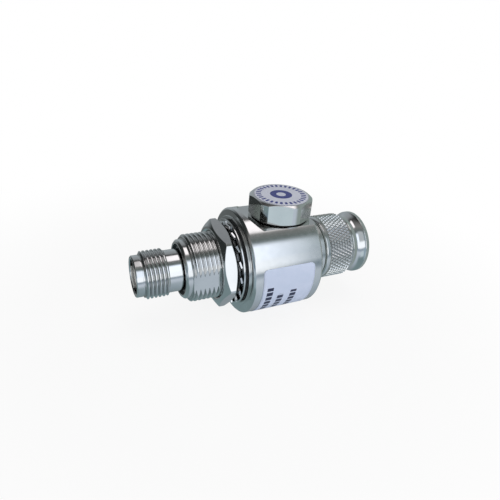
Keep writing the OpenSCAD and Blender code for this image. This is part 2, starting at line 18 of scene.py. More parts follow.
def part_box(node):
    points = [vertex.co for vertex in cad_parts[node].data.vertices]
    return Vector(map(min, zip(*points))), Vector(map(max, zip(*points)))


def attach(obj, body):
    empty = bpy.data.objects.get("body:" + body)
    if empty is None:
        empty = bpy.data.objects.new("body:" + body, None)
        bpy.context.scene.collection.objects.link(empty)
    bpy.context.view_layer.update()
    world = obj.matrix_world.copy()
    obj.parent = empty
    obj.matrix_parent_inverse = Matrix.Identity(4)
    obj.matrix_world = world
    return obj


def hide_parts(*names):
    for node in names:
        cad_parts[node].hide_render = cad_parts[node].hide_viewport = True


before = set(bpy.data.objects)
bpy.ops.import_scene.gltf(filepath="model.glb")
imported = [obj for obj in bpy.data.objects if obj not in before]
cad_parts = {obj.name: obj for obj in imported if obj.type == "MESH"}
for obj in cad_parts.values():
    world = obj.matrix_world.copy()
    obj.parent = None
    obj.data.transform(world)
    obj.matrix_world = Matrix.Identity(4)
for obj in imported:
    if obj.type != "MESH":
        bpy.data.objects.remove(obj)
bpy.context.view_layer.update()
scene = bpy.context.scene
MM = 0.001


def span(node, axis=0):
    """Where a CAD node starts and ends along an axis, in millimetres to the thousandth."""
    low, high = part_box(node)
    return round(low[axis] / MM, 3), round(high[axis] / MM, 3)


# %% [markdown]
# ## The camera
# The picture was taken from in front, a little above, and from the jack's side. Its place comes
# from circles of known size: the ends of the body, the nut, the knurl and the cap. A yaw, a pitch
# and a roll turn the camera, and one point of the picture says where the origin has to appear.

# %% Camera
PICTURE = 500
YAW, PITCH, ROLL = (math.radians(a) for a in (26.482, 28.957, -4.546))
ORIGIN_PIXEL = (232.18, 260.369)
ORIGIN_DEPTH = 108.77
FOCAL_PIXELS = 443.6
SENSOR = 36.0
NEAREST = 2.0


def camera_axes(yaw, pitch, roll):
    """Right, down and forward: forward turns by yaw from +Y to +X and drops by pitch, then right and
    down turn about forward by roll."""
    forward = Vector((math.sin(yaw) * math.cos(pitch), math.cos(yaw) * math.cos(pitch), -math.sin(pitch)))
    level = Vector((math.cos(yaw), -math.sin(yaw), 0))
    below = forward.cross(level)
    right = math.cos(roll) * level + math.sin(roll) * below
    down = math.cos(roll) * below - math.sin(roll) * level
    return right, down, forward


def linked(name, data):
    """A new object of the scene."""
    thing = bpy.data.objects.new(name, data)
    scene.collection.objects.link(thing)
    return thing


right, down, forward = camera_axes(YAW, PITCH, ROLL)
aside = [(pixel - PICTURE / 2) / FOCAL_PIXELS * ORIGIN_DEPTH for pixel in ORIGIN_PIXEL]
stand = -(aside[0] * right + aside[1] * down + ORIGIN_DEPTH * forward) * MM

camera = linked("camera", bpy.data.cameras.new("camera"))
turned_axes = Matrix((right, -down, -forward)).transposed()
camera.matrix_world = Matrix.Translation(stand) @ turned_axes.to_4x4()
camera.data.sensor_fit = "HORIZONTAL"
camera.data.sensor_width = SENSOR
camera.data.lens = FOCAL_PIXELS / PICTURE * SENSOR
camera.data.clip_start = NEAREST * MM
scene.camera = camera
print("camera stands at", [round(v / MM, 1) for v in stand], "mm, lens", round(camera.data.lens, 2), "mm")

# %% [markdown]
# ## From profile to mesh
# A turned part is a profile carried round an axis. A few small helpers make every piece here: one
# rounds the corners of a profile, one carries it round, one weaves faces between the neighbours of
# a grid of points, and one puts the skins together as a closed mesh. All of them work on whole
# arrays. A real edge is never perfectly sharp, and its tiny curve draws the bright line that tells
# the eye where one face ends, so the corners are rounded here and not by a modifier.

# %% Helpers for profiles
TURN = 2 * np.pi
CAP_X = 11.7
EASE, WIDE_EASE = 0.06, 0.12
SHOULDER = 1.4


def eased(outline, reach=EASE, closed=True, steps=3):
    """Corner P between neighbours A and B becomes the curve (1-s)^2 (P + t a) + 2 s (1-s) P +
    s^2 (P + t b), with a and b the unit steps towards A and B, and t the reach, held to a third of
    the shorter side. One more point on each side of the curve keeps the flats flat."""
    p = np.asarray(outline, float)
    a, b = np.roll(p, 1, 0) - p, np.roll(p, -1, 0) - p
    side_a, side_b = (np.linalg.norm(v, axis=-1, keepdims=True) for v in (a, b))
    t = np.minimum(reach, np.minimum(side_a, side_b) / 3)
    a, b = a / side_a, b / side_b
    s = np.linspace(0, 1, steps + 1).reshape(-1, *[1] * p.ndim)
    curve = (1 - s) ** 2 * (p + t * a) + 2 * s * (1 - s) * p + s ** 2 * (p + t * b)
    rows = np.concatenate([(p + SHOULDER * t * a)[None], curve, (p + SHOULDER * t * b)[None]])
    rows = np.moveaxis(rows, 0, 1)
    if closed:
        return rows.reshape(-1, *p.shape[1:])
    middle = rows[1:-1].reshape(-1, *p.shape[1:])
    return np.concatenate([p[:1], middle, p[-1:]])


def round_angles(columns):
    """Angles of a full turn in equal steps, without the last one, which is the first again."""
    return np.arange(columns) * TURN / columns


def whole_turn(angles):
    """The same angles with the first one added again at their end, a full turn later."""
    return np.append(angles, angles[0] + TURN)


def on_line(along, radius, angle):
    """The point at that distance along X and that radius; angle 0 is +Y and a quarter turn is +Z."""
    along, radius, angle = np.broadcast_arrays(along, radius, angle)
    return np.stack([along, radius * np.cos(angle), radius * np.sin(angle)], -1)


def on_cap(along, radius, angle):
    """The point at that height and that radius about the cap's axis; angle 0 is +X."""
    along, radius, angle = np.broadcast_arrays(along, radius, angle)
    return np.stack([CAP_X + radius * np.cos(angle), radius * np.sin(angle), along], -1)


print("corners are eased by", EASE, "or", WIDE_EASE, "mm")

# %% Helpers for meshes
SHARP = math.radians(28)
MERGE = 1e-7


def weave(points, closed_rows=False, closed_columns=False):
    """Faces of four corners between grid neighbours: (i, j), (i+1, j), (i+1, j+1), (i, j+1)."""
    index = np.arange(np.prod(points.shape[:-1])).reshape(points.shape[:-1])
    if closed_rows:
        index = np.concatenate([index, index[:1]])
    if closed_columns:
        index = np.concatenate([index, index[:, :1]], axis=1)
    corners = [index[..., :-1, :-1], index[..., 1:, :-1], index[..., 1:, 1:], index[..., :-1, 1:]]
    return np.stack(corners, -1).reshape(-1, 4)


def carried_round(outline, columns, place=on_line, closed=True):
    """Each outline point (along, radius) is set at every angle of a turn: one row a point."""
    outline = np.asarray(outline, float)
    points = place(outline[:, :1], outline[:, 1:], round_angles(columns)[None])
    return points, weave(points, closed, True)


def turned(outline, columns, reach=EASE, place=on_line, closed=True):
    """The outline with its corners eased, carried round."""
    return carried_round(eased(outline, reach, closed), columns, place, closed)


def shell(name, *skins):
    """One closed mesh from skins (points in mm, faces): rims that meet are merged, faces turn out."""
    points, faces, count = [], [], 0
    for grid, corners in skins:
        flat = grid.reshape(-1, 3)
        points.append(flat)
        faces.extend((corners + count).tolist())
        count += len(flat)
    mesh = bpy.data.meshes.new(name)
    mesh.from_pydata((np.concatenate(points) * MM).tolist(), [], faces)
    tidy = bmesh.new()
    tidy.from_mesh(mesh)
    bmesh.ops.remove_doubles(tidy, verts=tidy.verts, dist=MERGE)
    bmesh.ops.recalc_face_normals(tidy, faces=tidy.faces)
    open_edges = sum(1 for edge in tidy.edges if len(edge.link_faces) != 2)
    if tidy.calc_volume(signed=True) < 0:
        bmesh.ops.reverse_faces(tidy, faces=tidy.faces)
    tidy.to_mesh(mesh)
    tidy.free()
    mesh.shade_smooth()
    mesh.set_sharp_from_angle(angle=SHARP)
    piece = linked(name, mesh)
    print(f"{name}: {len(mesh.polygons)} faces, {open_edges} open edges")
    return piece


print("edges over", round(math.degrees(SHARP)), "degrees stay sharp")

# %% [markdown]
# ## Threads
# A thread is a groove that winds round a bar. It could be a displacement texture, but then its
# outline against the background would stay straight. Here every line of the groove is a helix of
# points, so crests and roots are real edges. A cone at each end cuts the crests down to the root, as
# the chamfer on a real thread does.

# %% Thread helper
FADE = 0.02
STRIPS = 12
TURNS_BEFORE, TURNS_SPARE = 2, 5
KNOTS = np.array([(0, 1), (0.09, 1), (0.13, 0.94), (0.41, 0.06), (0.46, 0), (0.54, 0), (0.59, 0.06),
                  (0.87, 0.94), (0.91, 1), (1, 1)])
ACROSS = np.union1d(KNOTS[:, 0], np.linspace(0, 1, STRIPS + 1))
HEIGHT = np.interp(ACROSS, KNOTS[:, 0], KNOTS[:, 1])


def held(along, start, end):
    """Kept between start and end, and moved onto the end that is nearer than the fade."""
    along = np.where(along < start + FADE, start, along)
    return np.where(along > end - FADE, end, along)


def thread_skin(ends, root, crest, lead, pitch, on_crest, angles, place=on_line):
    """Line a of turn m is the helix start + pitch (m + a + angle / turn + phase), held between the
    ends. HEIGHT at a says where it stands from root to crest, and a cone at each end holds that to the
    distance from the end over the lead. on_crest is (along, angle) on a crest."""
    start, end = ends
    angle = whole_turn(angles)
    phase = ((on_crest[0] - start) / pitch - on_crest[1] / TURN) % 1
    first = math.floor(-TURNS_BEFORE - angle[-1] / TURN)
    turns = np.arange(first, first + math.ceil((end - start) / pitch) + TURNS_SPARE)[:, None, None]
    along = held(start + pitch * (turns + ACROSS[:, None] + angle / TURN + phase), start, end)
    height = np.minimum(HEIGHT[:, None], np.minimum(along - start, end - along) / lead)
    points = place(along, root + (crest - root) * height, angle)
    return points, weave(points)


print("one turn of a thread has", len(ACROSS) - 1, "strips")

# %% [markdown]
# ## The jack
# The jack is a tube with a plain ring at its mouth, a narrow groove, a fine inch thread, and a plain
# neck that runs into the barrel. Only the thread is more than a turned profile, so the profile is left
# open there and the thread's skin closes it.

# %% Jack
JACK_COLUMNS = 144
JACK_MOUTH, JACK_TAIL = span("jack_shell")
JACK_PITCH, JACK_CREST, JACK_ROOT, JACK_LEAD = 0.907, 5.555, 5.05, 0.3
JACK_THREAD = (-22.2, -16.8)
JACK_ON_CREST = (-19.9, TURN / 2 - math.radians(20))
NECK_R, NECK_END, TAIL_R = 4.95, -13.0, 6.0
LINE_R, STEP_X, STEP_R = 3.5, -17.7, 2.5
SOCKET_X, SOCKET_R = -18.7, 4.05
LIP, RING_R, RING_END, GROOVE_R = 0.2, 4.8, -22.55, 4.55

jack_outline = [
    (JACK_THREAD[1], JACK_ROOT), (JACK_THREAD[1], NECK_R), (NECK_END, NECK_R), (NECK_END, TAIL_R),
    (JACK_TAIL, TAIL_R), (JACK_TAIL, LINE_R), (STEP_X, LINE_R), (STEP_X, STEP_R), (SOCKET_X, STEP_R),
    (SOCKET_X, SOCKET_R), (JACK_MOUTH + LIP, SOCKET_R), (JACK_MOUTH, SOCKET_R + LIP),
    (JACK_MOUTH, RING_R - LIP), (JACK_MOUTH + LIP, RING_R), (RING_END, RING_R), (RING_END, GROOVE_R),
    (JACK_THREAD[0], GROOVE_R), (JACK_THREAD[0], JACK_ROOT)]
jack_thread = thread_skin(JACK_THREAD, JACK_ROOT, JACK_CREST, JACK_LEAD, JACK_PITCH, JACK_ON_CREST,
                          round_angles(JACK_COLUMNS))
jack = shell("jack_turning", turned(jack_outline, JACK_COLUMNS, closed=False), jack_thread)

# %% [markdown]
# Inside the jack sit a white sleeve and a slotted socket. The socket keeps its CAD mesh, because
# its slots are flat cuts. The sleeve is turned again here, so that its rim is eased.

# %% Jack sleeve
SMALL_COLUMNS = 96
SLEEVE_TIP, SLEEVE_END = span("jack_insulator")
SLEEVE_R, SLEEVE_SEAT_R, SLEEVE_BORE = 2.45, 3.48, 1.12
TIP_WALL, TIP_BORE = 0.8, 0.8

sleeve_outline = [
    (SLEEVE_TIP, TIP_BORE), (SLEEVE_TIP, SLEEVE_R), (STEP_X, SLEEVE_R), (STEP_X, SLEEVE_SEAT_R),
    (SLEEVE_END, SLEEVE_SEAT_R), (SLEEVE_END, SLEEVE_BORE), (SLEEVE_TIP + TIP_WALL, SLEEVE_BORE),
    (SLEEVE_TIP + TIP_WALL, TIP_BORE)]
sleeve = shell("jack_sleeve", turned(sleeve_outline, SMALL_COLUMNS, WIDE_EASE))

# %% [markdown]
# ## The body
# Barrel, body and hub are one turning. The barrel's thread is cut off on one side by a flat, and the
# body's top is faced off round the cap. Those cuts don't follow the turned grid, so they are made
# with two cutters and a Boolean, which leaves clean edges where the flat slices through the thread.

# %% Body turning
BODY_COLUMNS = 192
BARREL_MOUTH, HUB_END = span("housing")
PLUG_TAIL, PLUG_TIP = span("plug_body")
BARREL_ROOT, BARREL_CREST, BARREL_PITCH, BARREL_LEAD = 7.52, 8.0, 25.4 / 24, 0.35
BARREL_THREAD = (-12.1, -1.15)
BARREL_ON_CREST = (-9.85, TURN / 2 + math.radians(61))
PLAIN_X, LAND_X, LAND_R = -1.0, -0.4, 11.05
BODY_R, BODY_END, CHAMFER = 13.0, 18.0, 0.45
HUB_R, HUB_BORE = 7.9, 5.52
NOSE_R, NOSE_BORE = 7.0, 6.02

body_outline = [
    (BARREL_THREAD[1], BARREL_ROOT), (PLAIN_X, BARREL_CREST), (LAND_X, BARREL_CREST), (LAND_X, LAND_R),
    (0, LAND_R), (0, BODY_R - CHAMFER), (CHAMFER, BODY_R), (BODY_END - CHAMFER, BODY_R),
    (BODY_END, BODY_R - CHAMFER), (BODY_END, HUB_R), (HUB_END, HUB_R), (HUB_END, HUB_BORE),
    (PLUG_TAIL, HUB_BORE), (PLUG_TAIL, LINE_R), (JACK_TAIL, LINE_R), (JACK_TAIL, NOSE_BORE),
    (BARREL_MOUTH, NOSE_BORE), (BARREL_MOUTH, NOSE_R - CHAMFER), (BARREL_MOUTH + CHAMFER, NOSE_R),
    (BARREL_THREAD[0], NOSE_R), (BARREL_THREAD[0], BARREL_ROOT)]
barrel_thread = thread_skin(BARREL_THREAD, BARREL_ROOT, BARREL_CREST, BARREL_LEAD, BARREL_PITCH,
                            BARREL_ON_CREST, round_angles(BODY_COLUMNS))
body_skin = turned(body_outline, BODY_COLUMNS, WIDE_EASE, closed=False)
housing = shell("body_turning", body_skin, barrel_thread)


# %% Cutting helpers
def crisp_rim(mesh, axis, level):
    """Keeps sharp each edge between a face that lies at that level of an axis and one that doesn't."""
    tidy = bmesh.new()
    tidy.from_mesh(mesh)
    for rim in tidy.edges:
        offsets = [max(abs(v.co[axis] - level * MM) for v in face.verts) for face in rim.link_faces]
        on_flat = [offset < MERGE for offset in offsets]
        if any(on_flat) and not all(on_flat):
            rim.smooth = False
    tidy.to_mesh(mesh)
    tidy.free()


def cut_away(piece, cutter, axis, level):
    """Takes the cutter's volume out of the piece, keeps the result as its mesh, drops the cutter. The
    rim of the flat that the cutter leaves at that level stays sharp."""
    cut = piece.modifiers.new("cut", "BOOLEAN")
    cut.operation, cut.solver, cut.object = "DIFFERENCE", "EXACT", cutter
    result = piece.evaluated_get(bpy.context.evaluated_depsgraph_get())
    mesh = bpy.data.meshes.new_from_object(result)
    piece.modifiers.clear()
    piece.data = mesh
    bpy.data.objects.remove(cutter)
    mesh.shade_smooth()
    mesh.set_sharp_from_angle(angle=SHARP)
    crisp_rim(mesh, axis, level)
    print(f"{piece.name} after the cut: {len(mesh.polygons)} faces")


# %% Seat of the cap
SEAT_Z, SEAT_R, SEAT_SINK = 10.85, 10.4, 0.25
WELL_FLOOR, WELL_R = 0.6, 4.3
SHANK_FLOOR, SHANK_BORE = 6.2, 5.5
CLEAR_Z = 15.0

seat_outline = [
    (WELL_FLOOR, 0), (WELL_FLOOR, WELL_R), (SHANK_FLOOR, WELL_R), (SHANK_FLOOR, SHANK_BORE),
    (SEAT_Z - SEAT_SINK, SHANK_BORE), (SEAT_Z, SHANK_BORE + SEAT_SINK), (SEAT_Z, SEAT_R),
    (CLEAR_Z, SEAT_R), (CLEAR_Z, 0)]
seat_cutter = shell("seat_cutter", carried_round(seat_outline, BODY_COLUMNS, on_cap, closed=False))
cut_away(housing, seat_cutter, 2, SEAT_Z)

# %% Flat of the barrel
FLAT_Y, CLEAR_Y, FLAT_HALF = -7.35, -12.0, 9.0

flat_section = [(CLEAR_Y, -FLAT_HALF), (CLEAR_Y, FLAT_HALF), (FLAT_Y, FLAT_HALF), (FLAT_Y, -FLAT_HALF)]
flat_corners = np.array([[(x, *corner) for x in (BARREL_THREAD[0], LAND_X)] for corner in flat_section])
flat_ends = np.array([[0, 2, 4, 6], [1, 3, 5, 7]])
flat_faces = np.concatenate([weave(flat_corners, True), flat_ends])
cut_away(housing, shell("flat_cutter", (flat_corners, flat_faces)), 1, FLAT_Y)

# %% [markdown]
# ## Nut and cap
# Both are hexagons whose corners are turned down, to a cylinder round the side and to a cone on
# either face. Seen from above, a hexagon is one distance for each angle, so the same profile helper
# can make it: only the radius of the outer points changes from column to column. Columns crowd
# together where a flat meets its turned corner, which keeps the flats flat.

# %% Hexagon helpers
SIDE = TURN / 6
CONE = math.tan(math.radians(30))
HEX_EASE = 0.1
FLAT_COLUMNS, CORNER_COLUMNS, CROWD = 14, 7, 0.012


def hexagon(across, corner_r, turn):
    """Angles of six equal sides, closer where flats and turned corners meet, which is where the cosine
    is half the width over the corner's radius; and the reach at each angle: half the width over the
    cosine from the side's middle, or the corner's radius if less. turn is the first side's middle."""
    meet = math.acos(across / 2 / corner_r)
    tight = min(CROWD, (SIDE / 2 - meet) / 4)
    flat = np.concatenate([[-meet], np.linspace(tight - meet, meet - tight, FLAT_COLUMNS), [meet]])
    corner = np.linspace(meet + tight, SIDE - meet - tight, CORNER_COLUMNS)
    angle = (turn + np.arange(6)[:, None] * SIDE + np.concatenate([flat, corner])).ravel()
    from_middle = (angle - turn + SIDE / 2) % SIDE - SIDE / 2
    return angle, np.minimum(across / 2 / np.cos(from_middle), corner_r)


def hex_sides(low, high, face_r, reach):
    """The four outer points of the profile at each angle: face circle, both ends of the side, face
    circle. A cone leads from a face to the side."""
    drop = (reach - face_r) * CONE
    return [(low, face_r), (low + drop, reach), (high - drop, reach), (high, face_r)]


def hex_skin(rows, angle, place, closed):
    """Rows (along, radius) of the profile, both of which may differ from angle to angle, eased and set
    round the axis."""
    level = 0 * angle
    profile = np.stack([np.stack([a + level, r + level], -1) for a, r in rows])
    profile = eased(profile, HEX_EASE, closed=closed)
    points = place(profile[..., 0], profile[..., 1], angle[None])
    return points, weave(points, closed, True)


print("a hexagon has", 6 * (FLAT_COLUMNS + 2 + CORNER_COLUMNS), "columns")

# %% Panel nut
NUT_LOW, NUT_HIGH = span("panel_nut")
NUT_BORE, NUT_SINK = 8.05, 0.45
NUT_ACROSS, NUT_CORNER, NUT_FACE = 19.0, 10.8, 9.05
NUT_TURN = TURN / 2 - math.radians(21.5)

nut_angles, nut_reach = hexagon(NUT_ACROSS, NUT_CORNER, NUT_TURN)
nut_sides = hex_sides(NUT_LOW, NUT_HIGH, NUT_FACE, nut_reach)
nut_bore = [(NUT_HIGH, NUT_BORE + NUT_SINK), (NUT_HIGH - NUT_SINK, NUT_BORE),
            (NUT_LOW + NUT_SINK, NUT_BORE), (NUT_LOW, NUT_BORE + NUT_SINK)]
nut = shell("panel_nut_hex", hex_skin(nut_sides + nut_bore, nut_angles, on_line, True))

# %% [markdown]
# The cap's head is the same hexagon about the upright axis. Its hollow, threaded shank is carried
# round with the same columns, so the two join at the groove of the seal.

# %% Cap
SHANK_END, CAP_HIGH = span("gas_cap", axis=2)
CAP_LOW, CAP_ACROSS, CAP_CORNER, CAP_FACE = 11.1, 14.0, 7.553, 6.85
CAP_TURN = -TURN / 4 - math.radians(26.6)
SHANK_CREST, SHANK_ROOT, SHANK_PITCH, SHANK_LEAD = 5.45, 5.05, 1.0, 0.4
SHANK_THREAD = (SHANK_END, 10.8)
SHANK_ON_CREST = (9.0, 0)
CUP_R, CUP_TOP = 4.15, 12.5
SEAL_R, SEAL_TOP = 6.05, 11.5

cap_angles, cap_reach = hexagon(CAP_ACROSS, CAP_CORNER, CAP_TURN)
cap_sides = hex_sides(CAP_LOW, CAP_HIGH, CAP_FACE, cap_reach)
head_rows = [(SHANK_THREAD[1], SHANK_ROOT), (SEAL_TOP, SHANK_ROOT), (SEAL_TOP, SEAL_R), (CAP_LOW, SEAL_R)]
cup_rows = [(SHANK_END, SHANK_ROOT), (SHANK_END, CUP_R), (CUP_TOP, CUP_R), (CUP_TOP, 0)]
head_skin = hex_skin(head_rows + cap_sides + [(CAP_HIGH, 0)], cap_angles, on_cap, False)
cup_skin = hex_skin(cup_rows, cap_angles, on_cap, False)
shank_thread = thread_skin(SHANK_THREAD, SHANK_ROOT, SHANK_CREST, SHANK_LEAD, SHANK_PITCH, SHANK_ON_CREST,
                           cap_angles, on_cap)
cap = shell("cap_hex", head_skin, cup_skin, shank_thread)

# %% [markdown]
# ## The coupling nut
# Its grip is a diamond knurl: two sets of grooves that wind in opposite directions and leave small
# diamonds with flat tops. On a grid with four steps to a diamond, every groove and every edge of a
# top runs along a diagonal of the cells, so cutting each cell along the right diagonal gives true
# flats and slopes from few faces. Warping the grid sets how much of a diamond its flat top takes.

# %% Knurl
KNURL_AROUND, KNURL_STEPS, KNURL_DEPTH, KNURL_CELLS = 57, 4, 0.35, 4
KNURL_R, KNURL_START, KNURL_END = 8.3, 23.52, 29.78
KNURL_FOOT, KNURL_FRONT = (23.4, 7.95), (29.9, 8.05)
TOP_SHARE = 0.3
NUT_COLUMNS = KNURL_AROUND * KNURL_STEPS


def warped(step):
    """Steps 0, 1, 2, 3 of each diamond move to 0, 2 - 2 t, 2 and 2 + 2 t, with t the share of a top."""
    moved = np.array([0, 2 - 2 * TOP_SHARE, 2, 2 + 2 * TOP_SHARE])
    return step - step % KNURL_STEPS + moved[step % KNURL_STEPS]


def knurl_skin():
    """Grid point (i, j) has two counts, s = i + j and d = i - j. A count is in a groove where it is a
    multiple of four, and on a top else; the radius drops where either is in a groove. The point lies
    at half the sum of the warped counts along the line and half their difference round it."""
    rows = KNURL_CELLS * KNURL_STEPS
    i, j = np.meshgrid(np.arange(rows + 1), np.arange(NUT_COLUMNS + 1), indexing="ij")
    low = ((i + j) % KNURL_STEPS == 0) | ((i - j) % KNURL_STEPS == 0)
    along = KNURL_START + (KNURL_END - KNURL_START) * (warped(i + j) + warped(i - j)) / 2 / rows
    around = (warped(i + j) - warped(i - j)) / 2 * TURN / NUT_COLUMNS
    band = on_line(along, KNURL_R - KNURL_DEPTH * low, around)
    angle = np.arange(NUT_COLUMNS + 1) * TURN / NUT_COLUMNS
    foot, front = (on_line(x, r, angle)[None] for x, r in (KNURL_FOOT, KNURL_FRONT))
    points = np.concatenate([foot, band, front])
    cells = weave(points)
    corner_low = np.pad(low, ((1, 1), (0, 0)), mode="edge").ravel()[cells].T
    across = ((corner_low[0] & corner_low[2]) | ~(corner_low[1] | corner_low[3]))[:, None]
    one = np.where(across, cells[:, [0, 1, 2]], cells[:, [0, 1, 3]])
    two = np.where(across, cells[:, [0, 2, 3]], cells[:, [1, 2, 3]])
    return points, np.concatenate([one, two])


print("the knurl has", KNURL_AROUND, "diamonds round the nut and", KNURL_CELLS, "along it")

# %% [markdown]
# The rest of the nut is turned: a collar behind the knurl, a hollow waist in front of it that is an
# arc of a circle, a rim, and a bore with a groove for the ring that holds it on the plug.

# %% Coupling nut
COUPLING_BACK, COUPLING_MOUTH = span("coupling_nut")
WAIST_R, WAIST_X, WAIST_ARC, WAIST_ENDS = 7.2, 32.05, 2.811, (30.03, 34.05)
RIM_X, RIM_R, RIM_CHAMFER = 34.2, 8.2, 0.3
COLLAR_R = 8.1
MOUTH_THREAD, MOUTH_ROOT, MOUTH_CREST, MOUTH_LEAD = (28.4, 35.27), 5.57, 5.15, 0.4
MOUTH_ON_CREST = (30.0, 0)
RELIEF_X, RELIEF_R, NECK_BORE = 25.7, 5.7, 5.0
RING_GROOVE = (23.55, 24.45)

waist_x = np.linspace(*WAIST_ENDS, 14)
waist_r = WAIST_R + WAIST_ARC - np.sqrt(WAIST_ARC ** 2 - (waist_x - WAIST_X) ** 2)
waist = np.stack([waist_x, waist_r], -1)
rim_outline = [
    tuple(waist[-1]), (RIM_X, RIM_R), (COUPLING_MOUTH - RIM_CHAMFER, RIM_R),
    (COUPLING_MOUTH, RIM_R - RIM_CHAMFER), (COUPLING_MOUTH, RELIEF_R), (MOUTH_THREAD[1], MOUTH_ROOT)]
bore_outline = [
    (MOUTH_THREAD[0], MOUTH_ROOT), (MOUTH_THREAD[0], RELIEF_R), (RELIEF_X, RELIEF_R),
    (RELIEF_X, NECK_BORE), (RING_GROOVE[1], NECK_BORE), (RING_GROOVE[1], RELIEF_R),
    (RING_GROOVE[0], RELIEF_R), (RING_GROOVE[0], NECK_BORE), (COUPLING_BACK, NECK_BORE),
    (COUPLING_BACK, COLLAR_R - RIM_CHAMFER), (COUPLING_BACK + RIM_CHAMFER, COLLAR_R),
    (KNURL_FOOT[0], COLLAR_R), KNURL_FOOT]
front_profile = np.concatenate([[KNURL_FRONT], waist[:-1], eased(rim_outline, WIDE_EASE, closed=False)])
front_skin = carried_round(front_profile, NUT_COLUMNS, closed=False)
bore_skin = turned(bore_outline, NUT_COLUMNS, WIDE_EASE, closed=False)
mouth_thread = thread_skin(MOUTH_THREAD, MOUTH_ROOT, MOUTH_CREST, MOUTH_LEAD, JACK_PITCH, MOUTH_ON_CREST,
                           round_angles(NUT_COLUMNS))
coupling = shell("coupling_nut_turning", front_skin, bore_skin, mouth_thread, knurl_skin())

# %% [markdown]
# ## The plug
# Inside the coupling nut are the plug's outer contact, its seal, a white insulator and the pin. They
# are seen when the part is looked at from its plug end.

# %% Plug pieces
SEAL_START = span("plug_seal")[0]
INSULATOR_END = span("plug_insulator")[1]
PLUG_TAIL_R, PLUG_NECK_R, PLUG_BORE = 5.5, 4.95, 3.3
RING_SEAT_R, SEAL_SEAT_R = 4.5, 3.85
FERRULE_X, FERRULE_R = 27.42, 4.02

plug_outline = [
    (PLUG_TAIL, PLUG_BORE), (PLUG_TAIL, PLUG_TAIL_R), (HUB_END, PLUG_TAIL_R), (HUB_END, PLUG_NECK_R),
    (RING_GROOVE[0], PLUG_NECK_R), (RING_GROOVE[0], RING_SEAT_R), (RING_GROOVE[1], RING_SEAT_R),
    (RING_GROOVE[1], PLUG_NECK_R), (SEAL_START, PLUG_NECK_R), (SEAL_START, SEAL_SEAT_R),
    (FERRULE_X, SEAL_SEAT_R), (FERRULE_X, FERRULE_R), (PLUG_TIP - LIP, FERRULE_R),
    (PLUG_TIP, FERRULE_R - LIP), (PLUG_TIP, PLUG_BORE)]
plug = shell("plug_turning", turned(plug_outline, JACK_COLUMNS))


# %% Plain rings of the plug
def ring(name, node, bore, outer, reach, columns=SMALL_COLUMNS, place=on_line):
    """A rectangle from the node's start to its end, and from one radius to the other, carried round."""
    start, end = span(node, 2 if place is on_cap else 0)
    outline = [(start, bore), (end, bore), (end, outer), (start, outer)]
    return shell(name, turned(outline, columns, reach, place))


insulator = ring("plug_sleeve", "plug_insulator", bore=1.02, outer=3.28, reach=0.15)
seal = ring("plug_seal_ring", "plug_seal", bore=3.87, outer=5.3, reach=0.25)

# %% Plug pin
PIN_COLUMNS = 48
PIN_TAIL, PIN_TIP = span("plug_pin")
PIN_TAIL_R, PIN_BODY_R, PIN_R = 0.6, 1.0, 0.685
POINT_LENGTH, POINT_R = 0.7, 0.34

pin_outline = [
    (PIN_TAIL, 0), (PIN_TAIL, PIN_TAIL_R), (PLUG_TAIL, PIN_TAIL_R), (PLUG_TAIL, PIN_BODY_R),
    (INSULATOR_END, PIN_BODY_R), (INSULATOR_END, PIN_R), (PIN_TIP - POINT_LENGTH, PIN_R),
    (PIN_TIP, POINT_R), (PIN_TIP, 0)]
pin = shell("plug_contact_pin", turned(pin_outline, PIN_COLUMNS, WIDE_EASE, closed=False))

# %% [markdown]
# ## Washers and seals
# Behind the nut lie a lock washer, a flat washer and a soft gasket. The lock washer keeps its CAD
# mesh, whose twisted teeth are flat plates. The two rings are turned with rounder edges: a stamped
# washer has a soft edge, and the gasket bulges.

# %% Washers and seals
washer = ring("flat_washer_ring", "flat_washer", bore=8.3, outer=10.45, reach=0.14, columns=JACK_COLUMNS)
gasket = ring("panel_gasket_ring", "panel_gasket", bore=8.02, outer=10.1, reach=0.16, columns=JACK_COLUMNS)
cap_ring = ring("cap_seal_ring", "cap_seal", bore=5.47, outer=6.03, reach=WIDE_EASE, place=on_cap)

# %% [markdown]
# ## The films
# A film is glued round the front of the body and another on the cap. Each is a thin sheet with its
# own UV map in millimetres, so that its printed lines follow the sheet. The body's film bends with
# the body: one direction of the grid runs along the line and the other round it, and each row is as
# wide as the rounded rectangle is there. Solidify gives the sheets their thickness.

# %% Film helper
FILM = 0.08
UV_SPAN = 20.0


def sheet(name, points, across, down_sheet):
    """A sheet from a grid of points, with UV (across, down) in mm over UV_SPAN, and a film's wall.
    Points that coincide, as at a seam or in the middle of a disc, are merged."""
    faces = weave(points)
    mesh = bpy.data.meshes.new(name)
    mesh.from_pydata((points.reshape(-1, 3) * MM).tolist(), [], faces.tolist())
    place = np.stack([across, down_sheet], -1).reshape(-1, 2) / UV_SPAN
    corners = np.empty(len(mesh.loops), np.int32)
    mesh.loops.foreach_get("vertex_index", corners)
    mesh.uv_layers.new(name="film").uv.foreach_set("vector", place[corners].astype(np.float32).ravel())
    tidy = bmesh.new()
    tidy.from_mesh(mesh)
    bmesh.ops.remove_doubles(tidy, verts=tidy.verts, dist=MERGE)
    tidy.to_mesh(mesh)
    tidy.free()
    mesh.shade_smooth()
    piece = linked(name, mesh)
    wall = piece.modifiers.new("film", "SOLIDIFY")
    wall.thickness, wall.offset = FILM * MM, -1
    print(f"{name}: {len(mesh.polygons)} faces")
    return piece


print("a film is", FILM, "mm thick")

# %% Body film
LABEL_X, LABEL_LENGTH, LABEL_HEIGHT, LABEL_ROUND = 2.3, 13.3, 20.0, 1.1
LABEL_R, LABEL_TOP = 13.1, math.radians(17.5)
ROUND_ROWS, STRAIGHT_ROWS, FILM_COLUMNS = 9, 61, 25

